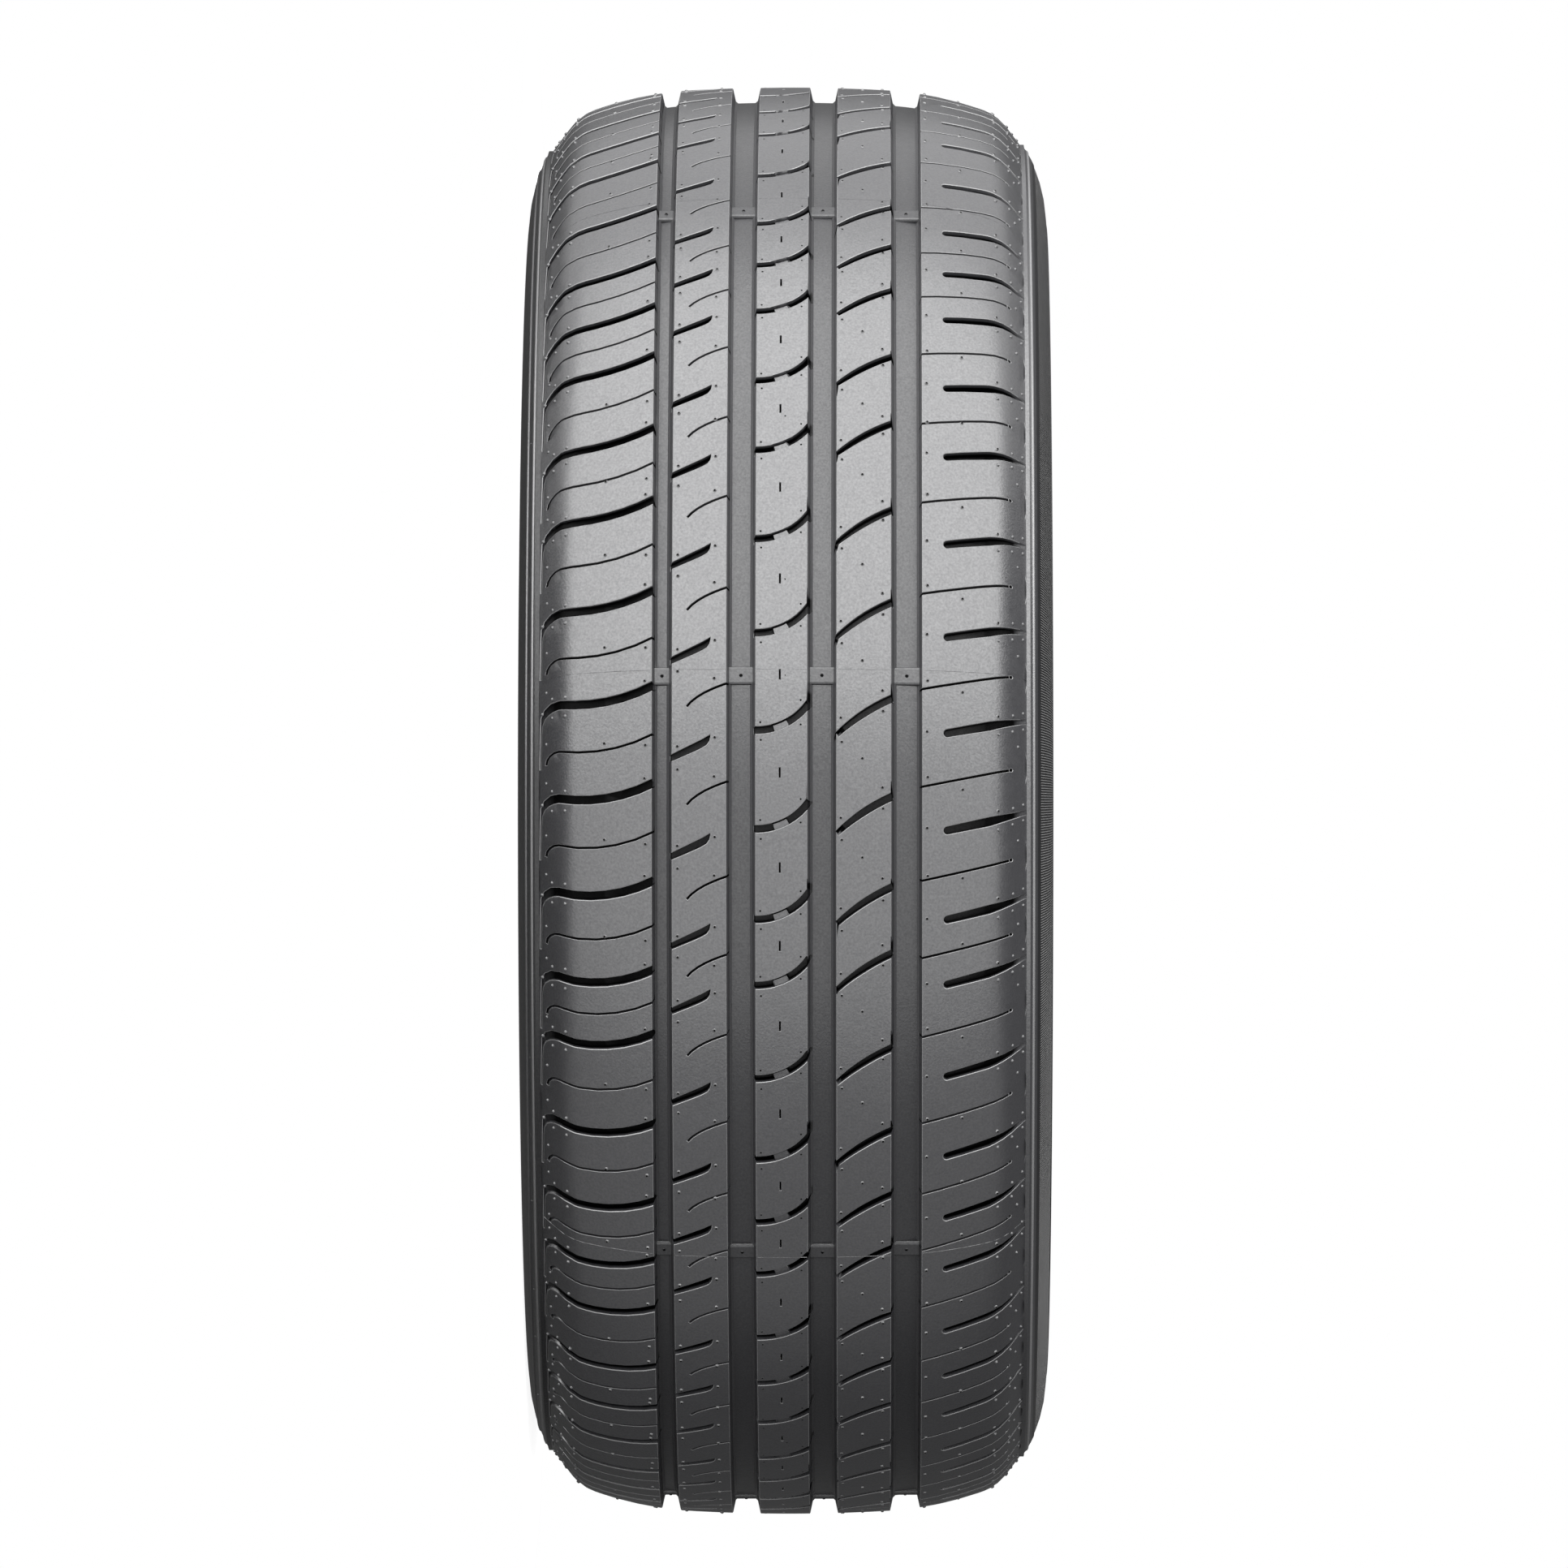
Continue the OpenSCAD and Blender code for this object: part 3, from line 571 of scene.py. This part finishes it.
# Painted shade in the gloss: the specular level falls low in the grooves and inside the cuts
sheen = node(tree, "ShaderNodeMapRange",
             {"Value": sunk_share.outputs["Result"], "To Min": 0.97, "To Max": 0.56})
sheen_cut = node(tree, "ShaderNodeMath", {0: sheen.outputs["Result"], 1: lit_cut.outputs["Value"]},
                 operation="MULTIPLY")
speckle = node(tree, "ShaderNodeMapRange",
               {"Value": fine.outputs["Fac"], "From Min": 0.3, "From Max": 0.7, "To Min": 0.8, "To Max": 1.2})
sheen_grain = node(tree, "ShaderNodeMath", {0: sheen_cut.outputs["Value"], 1: speckle.outputs["Result"]},
                   operation="MULTIPLY")
comb = node(tree, "ShaderNodeBump",
            {"Strength": 1.0, "Distance": 0.0008, "Height": serration.outputs["Value"]})
grain = node(tree, "ShaderNodeBump", {"Strength": 0.5, "Distance": 0.0002, "Height": fine.outputs["Fac"],
                                      "Normal": comb.outputs["Normal"]})
surface = tree.nodes["Principled BSDF"]
tree.links.new(highlighted.outputs["Result"], surface.inputs["Base Color"])
tree.links.new(rough.outputs["Result"], surface.inputs["Roughness"])
tree.links.new(sheen_grain.outputs["Value"], surface.inputs["Specular IOR Level"])
tree.links.new(grain.outputs["Normal"], surface.inputs["Normal"])
tyre_data.materials.append(rubber)

# What the mould leaves on the tread, in the same rubber. Wear bars lie low in the round grooves at eight
# places, each with a pip, and a fine line from the joint of two mould segments runs across the ribs there.
# The line is a low ridge, in degrees from the bars and millimetres above the tread.
WEAR_ANGLES = (215.1, 260.2, 308.3, 351.7, 35.1, 80.2, 128.3, 171.7)
BAR_TOP = 1.6
BAR_LOW = 1.0
BAR_LENGTH = 0.009
BAR_INSET = 1.55
PIP_R = 0.0011
PIP_TIP_R = 0.0005
MOULD_LINE = ((-0.322, -0.2), (-0.3, 0.09), (-0.278, -0.2))
trim = bmesh.new()
trim_depth = trim.verts.layers.float.new("depth")
trim_narrow = trim.verts.layers.float.new("narrow")
trim_highlight = trim.faces.layers.float.new("edge")


def new_pip(height):
    return bmesh.ops.create_cone(
        trim, cap_ends=True, segments=8, radius1=PIP_R, radius2=PIP_TIP_R, depth=height)["verts"]


for at in WEAR_ANGLES:
    turn = Matrix.Rotation(math.radians(at), 4, "Z")
    for middle, width in zip(ROUND_Z, ROUND_W):
        floor = float(tread_r(middle)) - ROUND_DEPTH
        half = width / 2 - BAR_INSET
        made = bmesh.ops.create_cube(trim, size=1)["verts"]
        bmesh.ops.scale(trim, vec=((BAR_TOP + BAR_LOW) / 1000, BAR_LENGTH, half * 0.002), verts=made)
        sides = []
        for e in [e for v in made for e in v.link_edges]:
            outward = all(v.co.x > 0 for v in e.verts)
            if outward and abs(e.verts[0].co.z - e.verts[1].co.z) > 0.001 and e not in sides:
                sides.append(e)
        lift = floor + (BAR_TOP - BAR_LOW) / 2
        bmesh.ops.translate(trim, vec=(lift / 1000, 0, middle / 1000), verts=made)
        bevelled = bmesh.ops.bevel(trim, geom=sides, offset=0.0012, segments=2, affect="EDGES", profile=0.5,
                                   material=-1)
        made = list({v for v in made if v.is_valid} | set(bevelled["verts"]))
        bmesh.ops.transform(trim, matrix=turn, verts=made)
        pip = new_pip(0.0008)
        tops = [v for v in pip if v.co.z > 0]
        place = turn @ Matrix.Translation(((floor + 1.8) / 1000, 0, middle / 1000))
        bmesh.ops.transform(trim, matrix=place @ Matrix.Rotation(math.pi / 2, 4, "Y"), verts=pip)
        # Painted shade: the bars are darkened like a groove floor, and their pips' tops near black
        for v in made + pip:
            v[trim_depth] = 5.0
        for v in tops:
            v[trim_narrow] = 3.0


def on_tread(degrees, z, lift):
    r = min(float(tread_r(z)) + lift, TOP_R)
    a = math.radians(degrees)
    return Vector((r * math.cos(a), r * math.sin(a), z)) / 1000


for at in WEAR_ANGLES:
    for rib in range(5):
        low = ZONES[0] + 1 if rib == 0 else ROUND_Z[rib - 1] + ROUND_W[rib - 1] / 2 + 0.3
        high = ZONES[5] - 1 if rib == 4 else ROUND_Z[rib] - ROUND_W[rib] / 2 - 0.3
        rows = []
        for z in np.linspace(low, high, 12 if rib in (0, 4) else 4).tolist():
            rows.append([trim.verts.new(on_tread(at + a, z, lift)) for a, lift in MOULD_LINE])
        for a, b in zip(rows, rows[1:]):
            for i in range(3):
                trim.faces.new((a[i], a[(i + 1) % 3], b[(i + 1) % 3], b[i]))
        trim.faces.new(rows[0])
        trim.faces.new(rows[-1][::-1])

# Vent pips, where rubber rose into the mould's vents. They stand in the same places in every pitch, but for
# a little scatter, and one of each pitch stands on the inboard sidewall. Where a pitch is short, those near
# its end are missing.
PIPS = (
    (0, ((-118, -8.1), (-115.1, -4.4), (-108.7, -4.7), (-120.2, 2.5), (-115.1, 5.1), (-108.7, 4.8),
         (-118, 17.4), (-88.8, 19.7), (-69, -11.2), (-68.6, 21.1), (-126.5, 18.5))),
    (RIB2_LEAD, ((-52.8, 12.1), (-34.5, -3.8), (-52.9, 0.8), (-34.8, 15.6))),
    (RIB3_LEAD, ((-12.1, -0.9), (-11.8, 8.4), (7.8, -11.1), (7.8, 0.3), (-0.1, 24.6))),
    (RIB4_LEAD, ((27.5, 2.2), (28, 13.5), (48.3, -1.8), (38.1, 21.6), (48, -12))),
    (RIB5_LEAD, ((69.9, 2.9), (70.2, 26.1), (104.9, -5.2), (105.3, 3.9), (112.5, -6.4), (112.3, 1.7),
                 (117.6, -8.2), (117.6, 0.1), (115, 9.2), (87.4, -16.4))))
SIDE_PIP_Z = -122
SIDE_PIP_R = 328.4
SHOULDER_Z = 105
PIP_ROOT = 0.3
PITCH_END = 14
chance = random.Random(4)
for at, length in pitches:
    for lead, places in PIPS:
        for z, s in places:
            r = float(tread_r(z)) if z > SIDE_PIP_Z else SIDE_PIP_R
            turned = at - lead + math.degrees((s + chance.uniform(-0.4, 0.4)) / r)
            if s > math.radians(length) * r - PITCH_END:
                continue
            slope = float(tread_r(z + 0.5)) - float(tread_r(z - 0.5))
            up = Vector((1, 0, -slope)).normalized()
            tall = min(chance.uniform(0.5, 0.8), TOP_R - 0.02 - r)
            pip = new_pip((tall + PIP_ROOT) / 1000)
            # Painted light on the pips: on the ribs light grey sides and a near black painted shadow on top,
            # on the shoulders a faint painted highlight
            for face in {f for v in pip for f in v.link_faces}:
                face[trim_highlight] = 0.05 if abs(z) > SHOULDER_Z else 0.35 if len(face.verts) == 4 else 0.0
            for v in pip:
                v[trim_narrow] = 3.0 if v.co.z > 0 and abs(z) < SHOULDER_Z else 0.0
            foot = Vector((r, 0, z)) / 1000 + up * (tall - PIP_ROOT) / 2000
            place = Matrix.Translation(foot) @ up.to_track_quat("Z", "Y").to_matrix().to_4x4()
            bmesh.ops.transform(trim, matrix=Matrix.Rotation(math.radians(turned), 4, "Z") @ place, verts=pip)
bmesh.ops.recalc_face_normals(trim, faces=trim.faces)
trim_data = bpy.data.meshes.new("mould_marks")
trim.to_mesh(trim_data)
trim_data.materials.append(rubber)
marks = bpy.data.objects.new("mould_marks", trim_data)
bpy.context.scene.collection.objects.link(marks)
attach(marks, "root")

# White paper under the tyre, which the camera sees as white but for the soft shadow. It stays out of the
# rubber's gloss.
GROUND_R = 0.40
GROUND_Z = -0.1331
ground_mesh = bmesh.new()
bmesh.ops.create_circle(ground_mesh, cap_ends=True, segments=96, radius=GROUND_R)
bmesh.ops.translate(ground_mesh, vec=(0, 0, GROUND_Z), verts=ground_mesh.verts)
ground_data = bpy.data.meshes.new("ground")
ground_mesh.to_mesh(ground_data)
ground = bpy.data.objects.new("ground", ground_data)
bpy.context.scene.collection.objects.link(ground)
ground.visible_glossy = False
paper = bpy.data.materials.new("white_paper")
paper.use_nodes = True
tree = paper.node_tree
sheet = tree.nodes["Principled BSDF"]
sheet.inputs["Base Color"].default_value = (0.9, 0.9, 0.9, 1)
sheet.inputs["Roughness"].default_value = 0.9
seen = node(tree, "ShaderNodeLightPath").outputs["Is Camera Ray"]
glow = node(tree, "ShaderNodeEmission", {"Strength": 0.85})
both = node(tree, "ShaderNodeAddShader", {0: sheet.outputs["BSDF"], 1: glow.outputs["Emission"]})
pick = node(tree, "ShaderNodeMixShader", {0: seen, 1: sheet.outputs["BSDF"], 2: both.outputs["Shader"]})
tree.links.new(pick.outputs["Shader"], tree.nodes["Material Output"].inputs["Surface"])
ground_data.materials.append(paper)

# A studio that is white to the camera and gives the tyre a weak even light
world = bpy.data.worlds.new("studio")
bpy.context.scene.world = world
world.use_nodes = True
tree = world.node_tree
seen = node(tree, "ShaderNodeLightPath").outputs["Is Camera Ray"]
backdrop = node(tree, "ShaderNodeMix", {"Factor": seen, "A": (0.12, 0.12, 0.12, 1), "B": (1, 1, 1, 1)},
                data_type="RGBA")
tree.links.new(backdrop.outputs["Result"], tree.nodes["Background"].inputs["Color"])


# Four long softboxes lie along the axle and face it, at these degrees from the camera towards the picture's
# top. The tread mirrors them as bands that fade into each other, brightest above the middle.
def lamp(name, degrees, distance, power, high):
    a = math.radians(degrees)
    place = Vector((-math.sin(a) * distance, -math.cos(a) * distance, -0.8))
    data = bpy.data.lights.new(name, "AREA")
    data.shape = "RECTANGLE"
    data.energy = power
    data.size = 14.0
    data.size_y = high
    made = bpy.data.objects.new(name, data)
    side = Vector((0, 0, 1))
    back = Vector((place.x, place.y, 0)).normalized()
    facing = Matrix((side, back.cross(side), back)).transposed().to_4x4()
    made.matrix_world = Matrix.Translation(place) @ facing
    bpy.context.scene.collection.objects.link(made)


lamp("key", 54, 3.0, 1160, 4.9)
lamp("top", 116, 3.0, 165, 2.7)
lamp("front", -10, 3.4, 309, 3.4)
lamp("low", -65, 3.0, 53, 2.8)
bpy.context.scene.view_settings.view_transform = "Standard"
